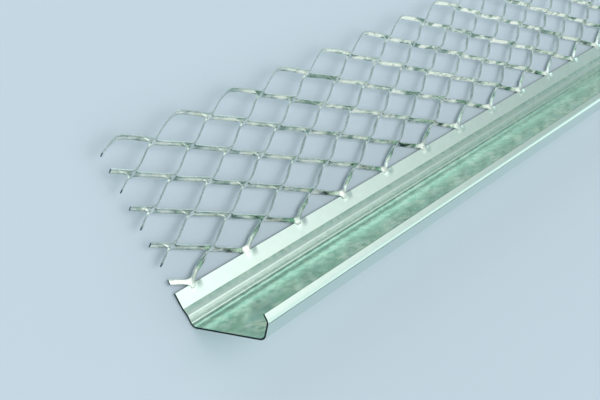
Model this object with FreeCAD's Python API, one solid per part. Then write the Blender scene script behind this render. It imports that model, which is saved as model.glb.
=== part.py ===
import FreeCAD, Part
import math
import os

# Stop bead of galvanised sheet steel, millimetres. The stock is one strip: a roll-formed stop
# section along one edge and a wing slit and stretched into raised diamonds along the other.

# Strip
length = 2500.0
sheet = 0.45

# Stop section, walked from the slit edge of the flange to the edge of the lip
flange_flat = 3.7
rib_rise = 16.0
rib_front = 0.9
rib_fall = 4.0
rib_back = 1.4
rib_radius = 0.8
flange_tail = 0.55
heel_angle = 63.5
heel_radius = 1.6
stop_wall = 16.4
nose_angle = 69.0
nose_radius = 1.6
nose_face = 2.8
lip_radius = 1.2
lip_width = 1.5

# Expanded wing
mesh_pitch = 20.0
row_count = 8
row_spacing = 4.4
flange_row = 4.5        # slit edge to the nearest row of bonds
wing_level = 0.3        # middle of the wing over the middle of the flange sheet
strand_width = 1.25
strand_tilt = 68.0
bond_length = 1.4
knuckle_length = 2.2
knuckle_tilt = 8.0
knuckle_radius = 0.8
loop_height = 4.3       # outermost row of bonds to the top of the loops at the free edge
loop_rounding = 1.3     # 1 gives pointed loops, 2 gives parabolas
loop_lean = 1.2         # top of a loop past the middle between its bonds
loop_parts = 3
first_bond = 5.4
wing_nodes = 3

lip_angle = 180.0 - heel_angle - nose_angle    # brings the lip parallel with the flange
half_pitch = mesh_pitch / 2
steep = math.radians(strand_tilt)
shallow = math.radians(knuckle_tilt)


def place(y, z, x=0.0):
    return FreeCAD.Vector(x, y, z)


def forward(heading):
    return place(-math.cos(heading), math.sin(heading))


def upward(heading):
    return place(math.sin(heading), math.cos(heading))


# Follows the middle of a bent sheet and keeps the edges of its two faces
class Walk:
    def __init__(self, start, heading):
        self.at = start
        self.heading = math.radians(heading)
        self.upper = []
        self.lower = []
        self.centres = []

    def side(self, offset):
        return self.at + upward(self.heading) * offset

    def straight(self, distance):
        for edges, offset in ((self.upper, sheet / 2), (self.lower, -sheet / 2)):
            start = self.side(offset)
            edges.append(Part.LineSegment(start, start + forward(self.heading) * distance).toShape())
        self.at = self.at + forward(self.heading) * distance
        return self

    def bend(self, degrees, radius):
        turn = math.radians(degrees)
        swing = math.copysign(radius, turn)
        centre = self.side(swing)
        for edges, offset in ((self.upper, sheet / 2), (self.lower, -sheet / 2)):
            reach = offset - swing
            points = [centre + upward(self.heading + turn * part) * reach for part in (0, 0.5, 1)]
            edges.append(Part.Arc(*points).toShape())
        self.at = centre - upward(self.heading + turn) * swing
        self.heading += turn
        self.centres.append(centre)
        return self

    def face(self):
        near = Part.LineSegment(self.lower[0].Vertexes[0].Point, self.upper[0].Vertexes[0].Point)
        far = Part.LineSegment(self.upper[-1].Vertexes[-1].Point, self.lower[-1].Vertexes[-1].Point)
        edges = self.upper + self.lower + [near.toShape(), far.toShape()]
        return Part.Face(Part.Wire(Part.__sortEdges__(edges)))


def stop_walk():
    walk = Walk(place(0, 0), 0.0)
    walk.straight(flange_flat)
    walk.bend(rib_rise, rib_radius).straight(rib_front)
    walk.bend(-rib_rise - rib_fall, rib_radius).straight(rib_back)
    walk.bend(rib_fall, rib_radius).straight(flange_tail)
    walk.bend(heel_angle, heel_radius).straight(stop_wall)
    walk.bend(nose_angle, nose_radius).straight(nose_face)
    walk.bend(lip_angle, lip_radius).straight(lip_width)
    return walk


# Section of the slit strip, square to the length: a rectangle that leans at the given tilt
def leaning_section(root, lean, low, high):
    along = place(math.cos(lean), math.sin(lean))
    across = place(-math.sin(lean), math.cos(lean)) * (sheet / 2)
    corners = [root + along * low - across, root + along * high - across,
               root + along * high + across, root + along * low + across]
    return Part.makePolygon(corners + corners[:1])


def row_line(row):
    return place(flange_row + (row_count - 1 - row) * row_spacing, wing_level)


# Where a row has its bonds within one pitch; rows are staggered by half a pitch
def middles(row):
    return (0.0, mesh_pitch) if (row_count - row) % 2 == 0 else (half_pitch,)


# Start and span of a bond or knuckle, as far as it lies within the pitch
def within_pitch(middle, span):
    start = max(middle - span / 2, 0.0)
    return place(0, 0, start), place(0, 0, min(middle + span / 2, mesh_pitch) - start)


# A bond joins two strands edge to edge: the half towards the free edge is raised, the other is sunk
def bond(row, middle):
    start, span = within_pitch(middle, bond_length)
    section = leaning_section(row_line(row) + start, steep, -strand_width, strand_width)
    return Part.Face(section).extrude(span)


# Runs from the sunk half of a bond to the raised half of the next bond towards the flange
def strand(row, x, side):
    start = row_line(row) + place(0, 0, x + side * bond_length / 2)
    end = row_line(row + 1) + place(0, 0, x + side * (half_pitch - bond_length / 2))
    rise = place(math.cos(steep), math.sin(steep)) * strand_width
    section = leaning_section(start, steep, -strand_width, 0.0)
    return Part.Face(section).extrude(end - start + rise)


# Half of a rounded loop at the free edge, from its top down to the raised half of a bond
def half_loop(x, side):
    base = row_line(1) + place(0, 0, x)
    reach = half_pitch - bond_length / 2
    sunk = place(-math.cos(steep), -math.sin(steep)) * strand_width
    solids = []
    points = []
    for part in range(loop_parts + 1):
        share = part / loop_parts
        height = 1 - share ** loop_rounding
        run = place(0, 0, loop_lean + (side * reach - loop_lean) * share)
        points.append(base + (place(loop_height, 0) + sunk) * height + run)
    for start, end in zip(points, points[1:]):
        section = leaning_section(start, steep, 0.0, strand_width)
        solids.append(Part.Face(section).extrude(end - start))
    return solids


# Tab that bends up from the flange's slit edge
def knuckle_walk():
    return Walk(place(0, 0), 180.0).bend(-knuckle_tilt, knuckle_radius).straight(strand_width)


def knuckle(middle):
    start, span = within_pitch(middle, knuckle_length)
    return knuckle_walk().face().translated(start).extrude(span)


# Strand by the flange, which twists from the lean of the wing to that of its knuckle
def flange_strand(x, side):
    start = row_line(row_count - 1) + place(0, 0, x + side * bond_length / 2)
    tip = knuckle_walk().at + place(0, 0, x + side * (half_pitch - knuckle_length / 2))
    sections = [leaning_section(start, steep, -strand_width, 0.0),
                leaning_section(tip, shallow, -strand_width, 0.0)]
    return Part.makeLoft(sections, True, True)


# One pitch of the wing, between planes through the middles of the knuckles
def bay():
    solids = []
    for row in range(row_count + 1):
        for x in middles(row):
            if row == row_count:
                solids.append(knuckle(x))
            elif row > 0:
                solids.append(bond(row, x))
            for side in (-1, 1):
                if row == row_count or not 0 <= x + side * half_pitch <= mesh_pitch:
                    continue
                if row == 0:
                    solids += half_loop(x, side)
                elif row == row_count - 1:
                    solids.append(flange_strand(x, side))
                else:
                    solids.append(strand(row, x, side))
    return solids[0].fuse(solids[1:]).removeSplitter()


# Length of the wing between two planes, as bays joined through their shared bonds
def wing(start, end):
    pattern = bay()
    before = math.ceil(first_bond / mesh_pitch)
    origin = first_bond - before * mesh_pitch
    bays = []
    for index in range(before + math.ceil((length - first_bond) / mesh_pitch)):
        x = origin + index * mesh_pitch
        if x + mesh_pitch > start and x < end:
            piece = pattern.translated(place(0, 0, x))
            if x < start or x + mesh_pitch > end:
                reach = 2 * row_count * row_spacing
                slab = Part.makeBox(end - start, 2 * reach, 2 * reach, place(-reach, -reach, start))
                piece = piece.common(slab)
            bays.append(piece)
    skin = [face for piece in bays for face in piece.Faces if not is_joint(face, start, end)]
    sewn = Part.makeCompound(skin)
    sewn.sewShape()
    return Part.Solid(sewn.Shells[0])


# A face square to the length where two bays meet, at a bond or at the top of a loop
def is_joint(face, start, end):
    box = face.BoundBox
    margin = loop_lean + sheet
    inside = start + margin < box.Center.x < end - margin
    if not inside or box.XLength > sheet / 100:
        return False
    bays = [(box.Center.x - first_bond - lean) / mesh_pitch for lean in (0.0, loop_lean)]
    return any(abs(count - round(count)) < sheet / 100 for count in bays)


# Planes that part the wing into nodes, each through the middle of a bond
def wing_planes():
    whole = math.floor((length - first_bond) / mesh_pitch)
    inner = [first_bond + round(whole * share / wing_nodes) * mesh_pitch for share in range(1, wing_nodes)]
    return [0.0] + inner + [length]


# Turn at which the strip lies on the floor, on its heel and on the sunk edges of the row by the flange
def rest_turn(heel_centre):
    sunk = leaning_section(row_line(row_count - 1), steep, -strand_width, 0.0)
    edge = min((vertex.Point for vertex in sunk.Vertexes), key=lambda point: point.z)
    span = heel_centre - edge
    lean = math.atan2(span.y, span.z)
    return math.degrees(lean + math.acos((heel_radius + sheet / 2) / span.Length))


walk = stop_walk()
nodes = {"stop_profile": walk.face().extrude(place(0, 0, length))}
planes = wing_planes()
for index in range(wing_nodes):
    nodes["mesh_wing_%d" % (index + 1)] = wing(planes[index], planes[index + 1])

turn = rest_turn(walk.centres[3])
for solid in nodes.values():
    solid.rotate(place(0, 0), FreeCAD.Vector(1, 0, 0), turn)
bounds = FreeCAD.BoundBox()
for solid in nodes.values():
    bounds.add(solid.BoundBox)
foot = FreeCAD.Vector(length / 2, bounds.Center.y, bounds.ZMin)

os.makedirs("parts", exist_ok=True)
for name, solid in nodes.items():
    solid.translate(foot * -1)
    solid.exportStep("parts/%s.step" % name)
    print(name, solid.isValid(), len(solid.Faces), round(solid.Volume, 2), solid.BoundBox)
print("rest turn", round(turn, 3), "foot", foot)
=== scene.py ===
import math
from collections import Counter

import bpy
from mathutils import Matrix, Vector


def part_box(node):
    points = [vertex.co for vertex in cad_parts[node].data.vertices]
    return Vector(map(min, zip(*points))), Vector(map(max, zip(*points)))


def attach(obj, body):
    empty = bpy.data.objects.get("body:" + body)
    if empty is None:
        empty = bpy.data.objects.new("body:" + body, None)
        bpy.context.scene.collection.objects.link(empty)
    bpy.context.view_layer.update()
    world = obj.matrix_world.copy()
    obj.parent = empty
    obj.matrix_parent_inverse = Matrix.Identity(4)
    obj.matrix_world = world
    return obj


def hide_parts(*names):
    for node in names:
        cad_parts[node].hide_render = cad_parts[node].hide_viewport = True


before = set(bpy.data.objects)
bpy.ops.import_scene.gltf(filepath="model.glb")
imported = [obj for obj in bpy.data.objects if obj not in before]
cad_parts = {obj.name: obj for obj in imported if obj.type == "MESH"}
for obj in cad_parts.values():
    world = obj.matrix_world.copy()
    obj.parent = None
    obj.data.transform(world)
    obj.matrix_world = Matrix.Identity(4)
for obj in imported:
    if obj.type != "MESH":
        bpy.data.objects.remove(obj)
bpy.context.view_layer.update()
mm = 0.001
touch = 0.004 * mm  # points closer than this are the same point
weld = 0.005 * mm  # points closer than this are merged
print("frame loaded", sorted(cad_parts))


def linear(hexCode):  # sRGB hex to linear colour
    parts = [int(hexCode[i:i + 2], 16) / 255 for i in (1, 3, 5)]
    return tuple(c / 12.92 if c <= 0.04045 else ((c + 0.055) / 1.055) ** 2.4 for c in parts) + (1.0,)


def addNode(tree, kind, settings=None, links=None):  # one node, its settings and what feeds it
    made = tree.nodes.new(kind)
    for key, value in (settings or {}).items():
        if isinstance(key, tuple):  # several sockets at once
            for socket, part in zip(key, value):
                made.inputs[socket].default_value = part
        elif isinstance(key, str) and hasattr(made, key):
            setattr(made, key, value)
        else:
            made.inputs[key].default_value = value
    for key, source in (links or {}).items():
        tree.links.new(source, made.inputs[key])
    return made


def inMetres(span):
    return [end * mm for end in span]


def newMaterial(name):
    made = bpy.data.materials.new(name)
    made.use_nodes = True
    made.node_tree.nodes.clear()
    return made, made.node_tree


def leanCrystals(tree, look, drawn, cloud, paleSmooth):  # each crystal leans its own way, less where the zinc is painted paler
    spangle = addNode(tree, "ShaderNodeTexVoronoi", {"Scale": 1 / (look["spangleSize"] * mm)},
                      {"Vector": drawn})
    lean = addNode(tree, "ShaderNodeMix", {"data_type": "VECTOR", "Factor": look["softness"]},
                   {4: spangle.outputs["Color"], 5: cloud["Color"]}).outputs[1]
    middle = (0.5, 0.5, 0.5)  # a colour's middle, so that crystals lean to every side
    lean = addNode(tree, "ShaderNodeVectorMath", {"operation": "SUBTRACT", 1: middle}, {0: lean}).outputs[0]
    amount = addNode(tree, "ShaderNodeMapRange", {3: look["lean"], 4: look["lean"] * look["calm"]},
                     {0: paleSmooth}).outputs[0]
    facing = addNode(tree, "ShaderNodeNewGeometry").outputs["Normal"]
    return addNode(tree, "ShaderNodeVectorMath", {"operation": "MULTIPLY_ADD"},
                   {0: lean, 1: amount, 2: facing}).outputs[0]


def pressSkin(tree, look, place, spot, drawn, facet):  # waves, roll marks and the dents beside the knuckles
    wave = addNode(tree, "ShaderNodeTexNoise",
                   {"Scale": 1 / (look["waveSize"] * mm), "Detail": look["waveDetail"]},
                   {"Vector": drawn}).outputs[0]
    combed = addNode(tree, "ShaderNodeMapping", {"Scale": (1 / look["rollStretch"], 1, 1)},
                     {"Vector": place}).outputs[0]
    rolled = addNode(tree, "ShaderNodeTexNoise",  # coarser than real roll marks, which would not show
                     {"Scale": 1 / (look["rollSize"] * mm), "Detail": look["rollDetail"]},
                     {"Vector": combed}).outputs[0]
    past = addNode(tree, "ShaderNodeMath", {"operation": "SUBTRACT", 1: look["dentStart"] * mm},
                   {0: spot["X"]}).outputs[0]
    away = addNode(tree, "ShaderNodeMath", {"operation": "PINGPONG", 1: look["dentPitch"] / 2 * mm},
                   {0: past}).outputs[0]
    beside = addNode(tree, "ShaderNodeMapRange",
                     {"interpolation_type": "SMOOTHSTEP", 1: look["dentWidth"] * mm, 2: 0.0},
                     {0: away}).outputs[0]
    edgeward = addNode(tree, "ShaderNodeMapRange",
                       {"interpolation_type": "SMOOTHSTEP", (1, 2): inMetres(look["dentEdge"])},
                       {0: spot["Y"]}).outputs[0]
    dent = addNode(tree, "ShaderNodeMath", {"operation": "MULTIPLY"}, {0: beside, 1: edgeward}).outputs[0]
    normal = facet
    for height, depth in ((wave, "waveDepth"), (rolled, "rollDepth"), (dent, "dentDepth")):
        normal = addNode(tree, "ShaderNodeBump", {"Strength": 1.0, "Distance": look[depth] * mm},
                         {"Height": height, "Normal": normal}).outputs[0]
    return normal


def paintGlints(tree, look, spot, drawn, cloud):  # where glints are painted into the zinc as highlights: in patches, most of them high up
    patch = addNode(tree, "ShaderNodeTexNoise",
                    {"Scale": 1 / (look["patchSize"] * mm), "Detail": look["patchDetail"]},
                    {"Vector": drawn}).outputs[0]
    patch = addNode(tree, "ShaderNodeMapRange", {(1, 2): look["patch"]}, {0: patch}).outputs[0]
    upper = addNode(tree, "ShaderNodeMapRange", {(1, 2): inMetres(look["glintHeight"]), 3: look["glintLow"]},
                    {0: spot["Z"]}).outputs[0]
    shine = addNode(tree, "ShaderNodeMapRange", {(1, 2): look["glintCloud"], 4: look["shine"]},
                    {0: cloud[0]}).outputs[0]
    for mask in (patch, upper):
        shine = addNode(tree, "ShaderNodeMath", {"operation": "MULTIPLY"}, {0: shine, 1: mask}).outputs[0]
    return shine


def tintZinc(tree, look, spot, cloud, paleSmooth, shine):  # cloudy zinc with painted glints, paler zinc (painted highlight on flats and knuckles) and painted shade
    ramp = addNode(tree, "ShaderNodeValToRGB", {}, {0: cloud[0]})
    for stop, position, shade in zip(ramp.color_ramp.elements, look["cloudTone"], ("shade", "zinc")):
        stop.position = position
        stop.color = linear(look[shade])
    shadeAlong = addNode(tree, "ShaderNodeMapRange",
                     {(1, 2): inMetres(look["paintedShadeRun"]), (3, 4): look["paintedShadeAmount"]},
                     {0: spot["X"]}).outputs[0]
    edge = addNode(tree, "ShaderNodeAttribute", {"attribute_name": "rim"}).outputs["Fac"]
    edge = addNode(tree, "ShaderNodeMapRange", {1: look["paintedShadeStart"], 2: 1.0}, {0: edge}).outputs[0]
    edge = addNode(tree, "ShaderNodeMath", {"operation": "MULTIPLY"}, {0: edge, 1: shadeAlong}).outputs[0]
    tone = ramp.outputs[0]
    for shade, share in (("glint", shine), ("bond", paleSmooth), ("rim", edge)):
        tone = addNode(tree, "ShaderNodeMix", {"data_type": "RGBA", 7: linear(look[shade])},
                       {0: share, 6: tone}).outputs[2]
    return tone


def sheenMetallic(tree, look, spot, shine):  # how metallic the level strands stay: less in the glint patches and further along, standing in for a pale sheen
    diffuseSheen = addNode(tree, "ShaderNodeMapRange", {(1, 2): inMetres(look["diffuseSheenRun"]), (3, 4): look["diffuseSheen"]},
                    {0: spot["X"]}).outputs[0]
    level = addNode(tree, "ShaderNodeAttribute", {"attribute_name": "level"}).outputs["Fac"]
    for mask in (shine, level):
        diffuseSheen = addNode(tree, "ShaderNodeMath", {"operation": "MULTIPLY"}, {0: diffuseSheen, 1: mask}).outputs[0]
    return addNode(tree, "ShaderNodeMath", {"operation": "SUBTRACT", 0: 1.0}, {1: diffuseSheen}).outputs[0]


def makeZinc(name, look):
    # hot-dip galvanised sheet: bright zinc in small crystals, each of which catches other light
    made, tree = newMaterial(name)
    place = addNode(tree, "ShaderNodeTexCoord").outputs["Object"]
    spot = addNode(tree, "ShaderNodeSeparateXYZ", {}, {0: place}).outputs
    drawn = addNode(tree, "ShaderNodeMapping", {"Scale": (1 / look["stretch"], 1, 1)},
                    {"Vector": place}).outputs[0]
    cloud = addNode(tree, "ShaderNodeTexNoise",
                    {"Scale": 1 / (look["cloudSize"] * mm), "Detail": look["cloudDetail"]},
                    {"Vector": drawn}).outputs
    paleSmooth = addNode(tree, "ShaderNodeAttribute", {"attribute_name": "bond"}).outputs["Fac"]
    facet = leanCrystals(tree, look, drawn, cloud, paleSmooth)
    normal = pressSkin(tree, look, place, spot, drawn, facet)
    shine = paintGlints(tree, look, spot, drawn, cloud)
    tone = tintZinc(tree, look, spot, cloud, paleSmooth, shine)
    rough = addNode(tree, "ShaderNodeMapRange", {(3, 4): look["roughness"]}, {0: cloud[0]}).outputs[0]
    shader = addNode(tree, "ShaderNodeBsdfPrincipled", {"Metallic": 1.0},
                     {"Base Color": tone, "Roughness": rough, "Normal": normal})
    if max(look["diffuseSheen"]) > 0:
        tree.links.new(sheenMetallic(tree, look, spot, shine), shader.inputs["Metallic"])
    addNode(tree, "ShaderNodeOutputMaterial", {}, {"Surface": shader.outputs[0]})
    return made


def makeBareEdge(name, look):
    # steel bared by a blade and streaked by it, painted near white on slits as highlight, near black on
    # sheared ends as shade
    made, tree = newMaterial(name)
    place = addNode(tree, "ShaderNodeTexCoord").outputs["Object"]
    streak = addNode(tree, "ShaderNodeTexNoise",
                     {"Scale": 1 / (look["streakSize"] * mm), "Detail": look["streakDetail"]},
                     {"Vector": place})
    ramp = addNode(tree, "ShaderNodeValToRGB", {}, {0: streak.outputs[0]})
    for stop, position, shade in zip(ramp.color_ramp.elements, look["streakTone"], ("dark", "pale")):
        stop.position = position
        stop.color = linear(look[shade])
    shader = addNode(tree, "ShaderNodeBsdfPrincipled", {"Metallic": 1.0, "Roughness": look["roughness"]},
                     {"Base Color": ramp.outputs[0]})
    addNode(tree, "ShaderNodeOutputMaterial", {}, {"Surface": shader.outputs[0]})
    return made


# sizes, depths and places along the axes in millimetres
sheetLook = {
    # glint is painted highlight, bond a paler zinc painted on up-facing flats as highlight, the dark green
    # painted shade
    "shade": "#aed3c1", "zinc": "#c2e1d2", "glint": "#fdfeec", "bond": "#d9e8e1", "rim": "#587a66",
    "cloudSize": 1.8, "cloudDetail": 3.0, "cloudTone": (0.35, 0.6), "spangleSize": 1.3, "stretch": 1.2,
    "softness": 0.6, "lean": 0.08, "calm": 0.2, "roughness": (0.14, 0.24),
    "waveSize": 6.0, "waveDetail": 2.0, "waveDepth": 0.012,
    "rollSize": 0.5, "rollDetail": 2.0, "rollStretch": 500.0, "rollDepth": 0.006,
    "dentStart": -1243.4, "dentPitch": 20.0, "dentWidth": 2.4, "dentEdge": (-11.2, -9.0), "dentDepth": 0.22,
    # the painted shade in the heel grows darker further along the length
    "paintedShadeStart": 0.25, "paintedShadeAmount": (0.35, 0.75), "paintedShadeRun": (-1150.0, -850.0),
    "diffuseSheen": (0.0, 0.0), "diffuseSheenRun": (-1240.0, -1120.0),
    # the glint colour is a painted highlight, kept in patches and mostly high up the wall
    "shine": 0.8, "glintCloud": (0.38, 0.56), "patchSize": 7.0, "patchDetail": 1.0, "patch": (0.42, 0.56),
    "glintHeight": (3.0, 13.0), "glintLow": 0.25,
}
strandLook = dict(
    # on the strands glint is painted highlight and bond the paler zinc of bonds and knuckles
    sheetLook, shade="#b5c8bb", zinc="#eff6ef", glint="#fefef4", bond="#f4f8f6",
    lean=0.3, cloudSize=2.2, stretch=2.0, waveSize=2.5, waveDepth=0.08, rollDepth=0.0, dentDepth=0.0,
    # on the strands the painted edge shade is strongest at the near end, the pale sheen grows further along
    paintedShadeAmount=(0.62, 0.05), paintedShadeRun=(-1225.0, -1080.0), shine=1.0, diffuseSheen=(0.3, 1.0),
    patch=(0.2, 0.4), glintHeight=(-2.0, -1.0),
)
# the slit edges are painted near white, a highlight along them
slitLook = {
    "dark": "#c8d5d6", "pale": "#f4f9f8", "roughness": 0.3,
    "streakSize": 0.6, "streakDetail": 3.0, "streakTone": (0.35, 0.75),
}
# sheared ends are painted near black and strand ends dark grey, as shade on the cut faces
endLook = dict(slitLook, dark="#1a2228", pale="#39454b", roughness=0.5, streakSize=0.5)
sheetZinc = makeZinc("galvanised_steel", sheetLook)
strandZinc = makeZinc("galvanised_steel_strand", strandLook)
slitEdge = makeBareEdge("slit_steel_edge", slitLook)
shearedEnd = makeBareEdge("sheared_steel_end", endLook)
shearedStrand = makeBareEdge("sheared_strand_end", dict(endLook, dark="#4a575d", pale="#8b9aa0"))
print("materials made")


def clearSelection():
    if bpy.context.object and bpy.context.object.mode != "OBJECT":
        bpy.ops.object.mode_set(mode="OBJECT")
    bpy.ops.object.select_all(action="DESELECT")


def takeUp(piece):  # selects one piece alone and makes it the active one
    clearSelection()
    piece.select_set(True)
    bpy.context.view_layer.objects.active = piece


def pick(piece, test):  # selects the points that pass the test, in edit mode
    bpy.ops.object.mode_set(mode="EDIT")
    bpy.ops.mesh.select_mode(type="VERT")
    bpy.ops.mesh.select_all(action="DESELECT")
    bpy.ops.object.mode_set(mode="OBJECT")
    for point in piece.data.vertices:
        point.select = test(point.co)
    bpy.ops.object.mode_set(mode="EDIT")


def near(*places):
    return lambda co: any((co - place).length < touch for place in places)


def pullOut(move):  # extrudes what is picked
    bpy.ops.mesh.extrude_edges_move(TRANSFORM_OT_translate={"value": move})


def applyAll(piece):
    takeUp(piece)
    for modifier in list(piece.modifiers):
        bpy.ops.object.modifier_apply(modifier=modifier.name)


def mergePoints(piece):
    takeUp(piece)
    bpy.ops.object.mode_set(mode="EDIT")
    bpy.ops.mesh.select_all(action="SELECT")
    bpy.ops.mesh.remove_doubles(threshold=weld)
    bpy.ops.mesh.normals_make_consistent(inside=False)
    bpy.ops.object.mode_set(mode="OBJECT")


def joinPieces(pieces, name):
    clearSelection()
    for piece in pieces:
        piece.select_set(True)
    bpy.context.view_layer.objects.active = pieces[0]
    bpy.ops.object.join()
    pieces[0].name = name
    return pieces[0]


def copyPiece(piece, name):
    made = piece.copy()
    made.data = piece.data.copy()
    made.name = name
    bpy.context.collection.objects.link(made)
    return made


def thicken(piece, thickness):  # gives the drawn middle of the sheet its two faces
    wall = piece.modifiers.new("sheet", "SOLIDIFY")
    wall.thickness = thickness * mm
    wall.offset = 0
    wall.use_even_offset = True
    wall.material_offset_rim = 1


def finishPiece(piece, angle):
    takeUp(piece)
    bpy.ops.object.shade_smooth_by_angle(angle=math.radians(angle))
    even = piece.modifiers.new("even", "WEIGHTED_NORMAL")  # broad faces stay flat beside small bends
    even.keep_sharp = True
    bpy.ops.object.modifier_apply(modifier=even.name)
    print(piece.name, len(piece.data.polygons), "faces")


# the stop profile is rolled from one flat strip, bend after bend, in millimetres and degrees
profileSize = {
    "length": 2500.0, "sheet": 0.45, "flangeFlat": 3.7,
    "ribRise": 10.5, "ribFront": 1.6526, "ribFall": 5.0, "ribBack": 1.4215,
    "ribRadius": 0.4, "crestRadius": 0.8,
    # the heel's arc in degrees, after its radius, is painted darker as shade in the crease
    "heelAngle": 63.5, "heelRadius": 1.6, "heelShadeArc": (30.0, 57.0), "stopWall": 16.4,
    "noseAngle": 69.0, "noseRadius": 1.6, "noseFace": 2.58, "lipRadius": 1.7, "lipWidth": 1.1,
    "bendSteps": 8, "bendPart": 45.0, "fewestSteps": 3,
    "edgeSoftness": 0.06, "edgeSteps": 2, "edgeAngle": 60.0, "smoothAngle": 30.0,
    "flatFacing": 0.99, "outsideFacing": (0.05, 0.3),
}


def profileSteps(size):  # bends with their angle and radius, runs with their length
    lipAngle = 180 - size["heelAngle"] - size["noseAngle"]  # brings the lip parallel with the flange
    return [("bend", size["ribRise"], size["ribRadius"]), ("run", size["ribFront"]),
            ("bend", -size["ribRise"] - size["ribFall"], size["crestRadius"]), ("run", size["ribBack"]),
            ("bend", size["ribFall"], size["ribRadius"]),
            ("bend", size["heelAngle"], size["heelRadius"]), ("run", size["stopWall"]),
            ("bend", size["noseAngle"], size["noseRadius"]), ("run", size["noseFace"]),
            ("bend", lipAngle, size["lipRadius"]), ("run", size["lipWidth"])]


def markPaleFaces(piece, size):  # level flats and the outside of nose and lip get an even paler zinc, painted highlight from above
    even = piece.data.attributes.new("bond", "FLOAT", "POINT")
    sideways, upwards = size["outsideFacing"]
    for face in piece.data.polygons:
        high = face.center.z > size["stopWall"] / 2 * mm
        outside = high and face.normal.z > upwards and face.normal.y < sideways
        if abs(face.normal.z) > size["flatFacing"] or outside:
            for index in face.vertices:
                even.data[index].value = 1.0


def markHeel(piece, size, heelCentre):  # the zinc inside the heel's bend, a crease, is painted darker: painted shade
    creaseShade = piece.data.attributes.new("rim", "FLOAT", "POINT")
    first, last = size["heelShadeArc"]
    for point in piece.data.vertices:
        away = point.co - heelCentre
        inside = math.hypot(away.y, away.z) < size["heelRadius"] * mm and point.co.z < heelCentre.z
        turned = math.degrees(math.atan2(-away.y, -away.z))
        if inside and first < turned < last:
            creaseShade.data[point.index].value = 1.0


def rollProfile(size):
    clearSelection()
    length, flat = size["length"] * mm, size["flangeFlat"] * mm
    bpy.ops.mesh.primitive_plane_add(size=1, location=(length / 2, -flat / 2, 0))
    piece = bpy.context.object
    piece.name = "stopProfile"
    piece.scale = (length, flat, 1)
    bpy.ops.object.transform_apply(location=True, rotation=True, scale=True)
    at = Vector((0, -flat, 0))
    heading = 0.0

    def atEdge(co):
        return abs(co.y - at.y) < touch and abs(co.z - at.z) < touch

    def up(angle):
        return Vector((0, math.sin(angle), math.cos(angle)))

    for step in profileSteps(size):
        pick(piece, atEdge)
        if step[0] == "run":
            move = Vector((0, -math.cos(heading), math.sin(heading))) * step[1] * mm
            pullOut(move)
            at = at + move
        else:
            turn = math.radians(step[1])
            reach = math.copysign(step[2] * mm, turn)
            centre = at + up(heading) * reach
            if step[1] == size["heelAngle"]:
                heelCentre = centre
            count = max(size["fewestSteps"], round(size["bendSteps"] * abs(step[1]) / size["bendPart"]))
            bpy.ops.mesh.spin(steps=count, angle=turn, center=centre, axis=(1, 0, 0))
            heading += turn
            at = centre - up(heading) * reach
        bpy.ops.object.mode_set(mode="OBJECT")
        if not any(atEdge(point.co) for point in piece.data.vertices):
            raise RuntimeError("the rolled edge isn't where the bend should leave it")
    mergePoints(piece)
    thicken(piece, size["sheet"])
    soft = piece.modifiers.new("soft", "BEVEL")
    soft.width = size["edgeSoftness"] * mm
    soft.segments = size["edgeSteps"]
    soft.limit_method = "ANGLE"
    soft.angle_limit = math.radians(size["edgeAngle"])
    for skin in (sheetZinc, shearedEnd):
        piece.data.materials.append(skin)
    applyAll(piece)
    markPaleFaces(piece, size)
    markHeel(piece, size, heelCentre)
    finishPiece(piece, size["smoothAngle"])
    return piece


stopProfile = rollProfile(profileSize)

# the mesh wing is one pitch of slit and stretched strip, repeated along the length
wingSize = {
    "pitch": 20.0, "rows": 8, "rowSpacing": 4.4, "flangeRow": 4.5, "level": 0.43, "firstBond": 5.4,
    "strandWidth": 1.22, "strandSheet": 0.33, "tilt": 68.0, "levelTilt": 61.0,
    "bondTilt": 65.0, "bondLength": 1.4, "bondReach": 0.2, "bondPaleness": 1.0,
    "knuckleLength": 2.0, "knuckleTilt": 5.0,
    "knuckleFoot": ((1.1, 0.05), (0.495, 0.15)), "knuckleRise": 0.25,
    # knuckles take part of the paler zinc, a painted highlight where they flatten
    "knuckleWidths": (0.6, 0.85, 1, 1), "knucklePaleness": 0.3,
    "loopHeight": 4.3, "loopRounding": 1.3, "loopLean": 1.2, "loopShares": (0, 0.16, 0.5, 0.9, 1),
    "strandSteps": (0.1, 0.8, 0.1), "strandSway": (0.18, 0.64, 0.18),
    "knuckleSteps": (0.35, 0.4, 0.25), "knuckleFlatten": (0.05, 0.15, 0.8),
    "uprightSteps": (0.3, 0.35, 0.35), "uprightSway": (0.3, 0.52, 0.18), "uprightFlatten": (0.8, 0.15, 0.05),
    "stubFlat": 50.0, "stubReach": 0.75, "stubTwist": 0.5, "wander": 0.26, "wanderSize": 12.0,
    "pitchSeam": 0.01, "cutTouch": 0.0001, "smoothAngle": 40.0, "endFacing": 0.999,
}


def slope(degrees):
    return Vector((0, math.cos(math.radians(degrees)), math.sin(math.radians(degrees))))


def rowPlace(size, row, x):  # middle of a row's bond
    return Vector((x, size["flangeRow"] + (size["rows"] - 1 - row) * size["rowSpacing"], size["level"])) * mm


def bondMiddle(size, row):  # rows are staggered by half a pitch
    return 0.0 if (size["rows"] - row) % 2 == 0 else size["pitch"] / 2


def bondPlate(size, where):  # a tilted plate, halved along its middle where two strands part
    clearSelection()
    bpy.ops.mesh.primitive_grid_add(x_subdivisions=2, y_subdivisions=2, size=1)
    piece = bpy.context.object
    piece.scale = (size["bondLength"] * mm, 2 * size["strandWidth"] * mm, 1)
    piece.rotation_euler = (math.radians(size["bondTilt"]), 0, 0)
    piece.location = where
    bpy.ops.object.transform_apply(location=True, rotation=True, scale=True)
    return piece


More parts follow.
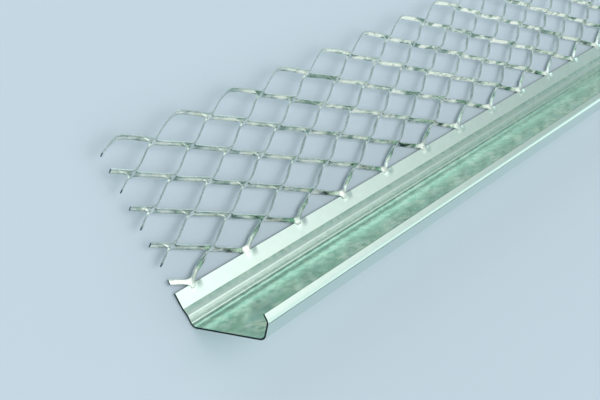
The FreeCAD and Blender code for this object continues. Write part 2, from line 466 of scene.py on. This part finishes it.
def drawStrand(piece, start, low, high, moves, turns):  # pulls an edge out in steps, turning it as it goes
    ends = [start + low, start + high]
    for move, turn in zip(moves, turns):
        pick(piece, near(*ends))
        pullOut(move)
        spun = Matrix.Rotation(math.radians(turn), 3, "X")
        middle = (ends[0] + ends[1]) / 2 + move
        ends = [middle + spun @ (end + move - middle) for end in ends]
        bpy.ops.object.mode_set(mode="OBJECT")
        fresh = [point for point in piece.data.vertices if point.select]
        for point in fresh:
            point.co = middle + spun @ (point.co - middle)


def bondUnit(size, row):  # a bond with its two strands towards the flange, the level one first
    x = bondMiddle(size, row)
    where = rowPlace(size, row, x)
    piece = bondPlate(size, where)
    lean = slope(size["bondTilt"]) * size["strandWidth"] * mm
    lastRow = row == size["rows"] - 1
    for side in (1, -1):
        start = where + Vector((side * size["bondLength"] / 2 * mm, 0, 0))
        if lastRow:  # the strand by the flange flattens towards its knuckle, the upright one sooner
            tip = knucklePath(size)[-1] - slope(size["knuckleTilt"]) * size["strandWidth"] / 2 * mm
            end = x * mm + side * (size["pitch"] / 2 - size["knuckleLength"] / 2) * mm
            run = Vector((end, tip.y, tip.z)) - (start - lean / 2)
            steps = size["knuckleSteps" if side > 0 else "uprightSteps"]
            flatten = size["knuckleFlatten" if side > 0 else "uprightFlatten"]
            turns = [(size["knuckleTilt"] - size["bondTilt"]) * share for share in flatten]
        else:  # upright strands stand steeper than level ones
            lengthways = side * (size["pitch"] / 2 - size["bondLength"])
            run = Vector((lengthways, -size["rowSpacing"], 0)) * mm + lean
            steps = size["strandSteps"]
            twist = size["levelTilt" if side > 0 else "tilt"] - size["bondTilt"]
            turns = (twist, 0, -twist)
        sway = steps
        if side < 0:  # the upright strands bend sharply by their bonds
            sway = size["uprightSway" if lastRow else "strandSway"]
        moves = [Vector((run.x * drift, run.y * share, run.z * share)) for share, drift in zip(steps, sway)]
        drawStrand(piece, start, -lean, Vector((0, 0, 0)), moves, turns)
    return piece


def knucklePath(size):  # middle of the sheet, drawn up out of the flange's slit edge into a tab
    foot = [Vector((0, -back, height)) for back, height in size["knuckleFoot"]]
    foot = [point * mm for point in foot + [Vector((0, 0, size["knuckleRise"]))]]
    return foot + [foot[-1] + slope(size["knuckleTilt"]) * size["strandWidth"] * mm]


def knuckleTab(size):
    path = knucklePath(size)
    clearSelection()
    bpy.ops.mesh.primitive_grid_add(x_subdivisions=2, y_subdivisions=1, size=1)
    piece = bpy.context.object
    piece.scale = (size["knuckleLength"] * mm, 1, 1)
    bpy.ops.object.transform_apply(location=True, rotation=True, scale=True)
    for point in piece.data.vertices:
        point.co.y, point.co.z = (path[0] if point.co.y < 0 else path[1]).yz
    for start, end in zip(path[1:], path[2:]):
        pick(piece, lambda co: abs(co.y - start.y) < touch)
        pullOut(end - start)
        bpy.ops.object.mode_set(mode="OBJECT")
    for place, width in zip(path, size["knuckleWidths"]):  # narrows to a rounded nub on the flange
        for point in piece.data.vertices:
            if abs(point.co.y - place.y) < touch:
                point.co.x *= width
    return piece


def edgeLoop(size):  # rounded loop at the free edge
    lean = slope(size["bondTilt"]) * size["strandWidth"] * mm
    base = rowPlace(size, 1, 0)
    reach = (size["pitch"] / 2 - size["bondLength"] / 2) * mm
    shares = size["loopShares"]

    def along(side, part):
        rise = Vector((0, size["loopHeight"] * mm, 0)) - lean
        lengthways = size["loopLean"] * mm * (1 - shares[part]) + side * reach * shares[part]
        return base + rise * (1 - shares[part] ** size["loopRounding"]) + Vector((lengthways, 0, 0))

    clearSelection()
    bpy.ops.mesh.primitive_plane_add(size=1)
    piece = bpy.context.object
    corners = [along(-1, 1), along(0, 0), along(0, 0) + lean, along(-1, 1) + lean]
    order = sorted(piece.data.vertices, key=lambda point: math.atan2(point.co.y, point.co.x))
    for point, corner in zip(order, corners):
        point.co = corner
    for side, first in ((-1, 1), (1, 0)):
        for part in range(first, len(shares) - 1):
            start, end = along(side, part), along(side, part + 1)
            pick(piece, near(start, start + lean))
            pullOut(end - start)
            bpy.ops.object.mode_set(mode="OBJECT")
    return piece


def markBonds(wing, size):  # bonds and knuckles get the paler zinc, on the knuckles a painted highlight as they flatten
    paleSmooth = wing.data.attributes.new("bond", "FLOAT", "POINT")
    half = size["pitch"] / 2
    for point in wing.data.vertices:
        row = round(size["rows"] - 1 - (point.co.y / mm - size["flangeRow"]) / size["rowSpacing"])
        away = abs((point.co.x / mm - bondMiddle(size, row) + half) % size["pitch"] - half)
        byFlange = row >= size["rows"]
        reach = size["knuckleLength" if byFlange else "bondReach"]
        paleness = size["knucklePaleness" if byFlange else "bondPaleness"]
        paleSmooth.data[point.index].value = paleness if row > 0 and away < reach else 0.0


def markLevel(wing):  # level strands run down towards the flange along the length, and take the pale sheen
    level = wing.data.attributes.new("level", "FLOAT", "POINT")
    points = wing.data.vertices
    for face in wing.data.polygons:
        sides = [points[key[1]].co - points[key[0]].co for key in face.edge_keys]
        longest = max(sides, key=lambda side: side.length)
        if longest.x * longest.y < 0:
            for index in face.vertices:
                level.data[index].value = 1.0


def markRims(wing):  # slit edges, along which the strand faces are painted darker: painted shade
    uses = Counter(key for face in wing.data.polygons for key in face.edge_keys)
    rim = wing.data.attributes.new("rim", "FLOAT", "POINT")
    for key, count in uses.items():
        if count == 1:
            rim.data[key[0]].value = rim.data[key[1]].value = 1.0


def stretchWing(size, length):
    units = [edgeLoop(size), knuckleTab(size)]
    units += [bondUnit(size, row) for row in range(1, size["rows"])]
    wing = joinPieces(units, "meshWing")
    mergePoints(wing)
    markBonds(wing, size)
    markLevel(wing)
    wing.data.transform(Matrix.Translation(Vector((size["firstBond"] - size["pitch"], 0, 0)) * mm))
    pitches = wing.modifiers.new("pitches", "ARRAY")
    pitches.use_relative_offset = False
    pitches.use_constant_offset = True
    pitches.constant_offset_displace = (size["pitch"] * mm, 0, 0)
    pitches.count = math.ceil(length / size["pitch"]) + 2  # one more at each end, cut off later
    pitches.use_merge_vertices = True
    pitches.merge_threshold = size["pitchSeam"] * mm
    smooth = wing.modifiers.new("stretched", "SUBSURF")
    smooth.levels = smooth.render_levels = 1
    smooth.boundary_smooth = "ALL"
    applyAll(wing)
    mergePoints(wing)
    markRims(wing)
    print("wing stretched", len(wing.data.polygons), "faces")
    return wing


def thickenWing(wing, size):
    stray = bpy.data.textures.new("strand_wander", "CLOUDS")
    stray.noise_scale = size["wanderSize"] * mm
    stray.cloud_type = "COLOR"
    wander = wing.modifiers.new("wander", "DISPLACE")
    wander.texture = stray
    wander.direction = "RGB_TO_XYZ"
    wander.strength = size["wander"] * 2 * mm  # half of it to each side
    thicken(wing, size["strandSheet"])
    for skin in (strandZinc, slitEdge, shearedStrand):
        wing.data.materials.append(skin)
    applyAll(wing)


def cutWing(wing, name, size, start, end):
    piece = copyPiece(wing, name)
    takeUp(piece)
    bpy.ops.object.mode_set(mode="EDIT")
    for plane, normal in ((start, (-1, 0, 0)), (end, (1, 0, 0))):
        bpy.ops.mesh.select_all(action="SELECT")
        bpy.ops.mesh.bisect(plane_co=(plane, 0, 0), plane_no=normal, clear_outer=True, use_fill=True,
                            threshold=size["cutTouch"] * mm)
    bpy.ops.object.mode_set(mode="OBJECT")
    for face in piece.data.polygons:
        if abs(face.normal.x) > size["endFacing"]:
            face.material_index = len(piece.data.materials) - 1
    finishPiece(piece, size["smoothAngle"])
    return piece


def flattenStub(piece, size):  # the shears pressed the first stub by the flange flat
    tip = (size["firstBond"] - size["knuckleLength"] / 2) * mm
    reach = size["stubReach"] * size["flangeRow"] * mm
    stub = [point for point in piece.data.vertices if point.co.x < tip and point.co.y < reach]
    mean = sum((point.co for point in stub), Vector()) / len(stub)
    scatter = sum((point.co.x - mean.x) ** 2 for point in stub)
    drift = sum(((point.co.x - mean.x) * (point.co - mean) for point in stub), Vector()) / scatter
    for point in stub:
        middle = mean + drift * (point.co.x - mean.x)
        share = min(1.0, (tip - point.co.x) / (tip * size["stubTwist"]))
        turned = Matrix.Rotation(math.radians(-size["stubFlat"] * share), 3, "X")
        point.co = middle + turned @ (point.co - middle)


wholeWing = stretchWing(wingSize, profileSize["length"])
thickenWing(wholeWing, wingSize)
wingNames = sorted(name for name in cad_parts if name.startswith("mesh_wing"))
wingEnds = [Vector(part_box(name)[1]).x + profileSize["length"] / 2 * mm for name in wingNames]
wings = []
for index, (start, end) in enumerate(zip([0.0] + wingEnds, wingEnds)):
    wings.append(cutWing(wholeWing, "meshWing%d" % (index + 1), wingSize, start, end))
flattenStub(wings[0], wingSize)
bpy.data.objects.remove(wholeWing)

# the strip is laid on the floor as the CAD lies, and set to its box
layOnFloor = {"turn": 4.656}  # degrees about the length
strip = [stopProfile] + wings
tilt = Matrix.Rotation(math.radians(layOnFloor["turn"]), 4, "X")
for piece in strip:
    piece.data.transform(tilt)
cadLow = Vector(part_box("stop_profile")[0])
ownLow = Vector([min(point.co[axis] for point in stopProfile.data.vertices) for axis in range(3)])
for piece, node in zip(strip, ["stop_profile"] + wingNames):
    piece.data.transform(Matrix.Translation(cadLow - ownLow))
    piece.data.update()
    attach(piece, "root")
    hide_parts(node)
print("laid on the floor")

floorLook = {"pale": "#c2ccd7", "size": 12.0, "roughness": 0.9}  # matt paint, which takes soft shadows
clearSelection()
bpy.ops.mesh.primitive_plane_add(size=floorLook["size"], location=(0, 0, 0))
floor = bpy.context.object
floor.name = "floor"
floorPaint, tree = newMaterial("pale_floor")
shader = addNode(tree, "ShaderNodeBsdfPrincipled",
                 {"Base Color": linear(floorLook["pale"]), "Roughness": floorLook["roughness"],
                  "Specular IOR Level": 0.0})
addNode(tree, "ShaderNodeOutputMaterial", {}, {"Surface": shader.outputs[0]})
floor.data.materials.append(floorPaint)

# a studio with a great soft panel overhead, a bright band low down all round, a low panel on the stop's
# side with a dark strip under it, a fill high on the mesh's side and a dim corner ahead
skyLook = {
    "room": "#c6d8d8", "panel": "#f6faf9",
    "strength": (0.55, 1.6), "height": (0.42, 0.74), "side": (0.25, -0.05),
    "band": (0.45, 0.2), "bandSide": (0.6, -0.8), "bandStrength": (2.1, 1.1),
    "fillSide": (0.5, 0.7), "fillHeight": (0.4, 0.6),
    "lowSide": (-0.2, -0.45), "lowHeight": (0.15, 0.4), "lowStrength": 0.85,
    "stripSide": (-0.42, -0.55), "stripHeight": (0.22, 0.12), "stripAhead": (0.5, 0.65), "stripDepth": 0.8,
    "cornerSide": (0.1, 0.28), "cornerAhead": (0.8, 0.93), "cornerDepth": 0.75,
}


def hangSky(look):  # brightness by direction: X ahead along the bead, Y towards the mesh, Z up
    world = bpy.data.worlds.new("studio")
    bpy.context.scene.world = world
    world.use_nodes = True
    tree = world.node_tree
    tree.nodes.clear()
    way = addNode(tree, "ShaderNodeTexCoord").outputs["Generated"]
    way = addNode(tree, "ShaderNodeSeparateXYZ", {}, {0: way}).outputs
    part = {}
    for name, axis, most in (("height", "Z", 1.0), ("side", "Y", 1.0), ("band", "Z", 1.0),
                             ("fillSide", "Y", 1.0), ("fillHeight", "Z", 1.0),
                             ("lowSide", "Y", look["lowStrength"]), ("lowHeight", "Z", 1.0),
                             ("stripSide", "Y", look["stripDepth"]), ("stripHeight", "Z", 1.0),
                             ("stripAhead", "X", 1.0), ("cornerSide", "Y", 1.0),
                             ("cornerAhead", "X", look["cornerDepth"])):
        part[name] = addNode(tree, "ShaderNodeMapRange", {(1, 2): look[name], 4: most},
                             {0: way[axis]}).outputs[0]
    panel = addNode(tree, "ShaderNodeMath", {"operation": "MULTIPLY"},
                    {0: part["height"], 1: part["side"]}).outputs[0]
    power = addNode(tree, "ShaderNodeMapRange", {(3, 4): look["strength"]}, {0: panel}).outputs[0]
    wide = addNode(tree, "ShaderNodeMapRange", {(1, 2): look["bandSide"], (3, 4): look["bandStrength"]},
                   {0: way["Y"]}).outputs[0]
    under = addNode(tree, "ShaderNodeMath", {"operation": "SUBTRACT", 0: 1.0}, {1: part["height"]}).outputs[0]
    under = addNode(tree, "ShaderNodeMath", {"operation": "MULTIPLY"},
                    {0: part["lowHeight"], 1: under}).outputs[0]
    for name, strength in (("band", wide), ("fillSide", part["fillHeight"]), ("lowSide", under)):
        power = addNode(tree, "ShaderNodeMath", {"operation": "MULTIPLY_ADD"},
                        {0: part[name], 1: strength, 2: power}).outputs[0]
    for names in (("stripSide", "stripHeight", "stripAhead"), ("cornerAhead", "cornerSide")):
        dark = part[names[0]]
        for name in names[1:]:
            dark = addNode(tree, "ShaderNodeMath", {"operation": "MULTIPLY"},
                           {0: dark, 1: part[name]}).outputs[0]
        left = addNode(tree, "ShaderNodeMath", {"operation": "SUBTRACT", 0: 1.0}, {1: dark}).outputs[0]
        power = addNode(tree, "ShaderNodeMath", {"operation": "MULTIPLY"}, {0: power, 1: left}).outputs[0]
    tone = addNode(tree, "ShaderNodeMix",
                   {"data_type": "RGBA", 6: linear(look["room"]), 7: linear(look["panel"])},
                   {0: panel}).outputs[2]
    sky = addNode(tree, "ShaderNodeBackground", {}, {"Color": tone, "Strength": power})
    addNode(tree, "ShaderNodeOutputWorld", {}, {"Surface": sky.outputs[0]})


hangSky(skyLook)

overhead = {"place": (-1.6, -0.6, 2.2), "aim": (-1.0, 0, 0), "size": 2.4, "power": 8.5}  # metres and watts
softbox = bpy.data.lights.new("overhead", "AREA")
softbox.shape = "RECTANGLE"
softbox.size = softbox.size_y = overhead["size"]
softbox.energy = overhead["power"]
lamp = bpy.data.objects.new("overhead", softbox)
lamp.location = overhead["place"]
aim = Vector(overhead["aim"]) - Vector(overhead["place"])
lamp.rotation_euler = aim.to_track_quat("-Z", "Y").to_euler()
bpy.context.collection.objects.link(lamp)

# the camera stands at the photograph's angle
viewpoint = {
    "place": (-1439.63, -14.04, 203.75), "turn": (32.794, -39.834, -42.968),
    "lens": 79.2, "sensor": 36.0, "nearest": 5.0,
}
camera = bpy.data.cameras.new("camera")
camera.sensor_width = viewpoint["sensor"]
camera.lens = viewpoint["lens"]
camera.clip_start = viewpoint["nearest"] * mm
eye = bpy.data.objects.new("camera", camera)
eye.location = Vector(viewpoint["place"]) * mm
eye.rotation_euler = [math.radians(angle) for angle in viewpoint["turn"]]
bpy.context.collection.objects.link(eye)
bpy.context.scene.camera = eye
bpy.context.scene.view_settings.view_transform = "Standard"

print("scene set")
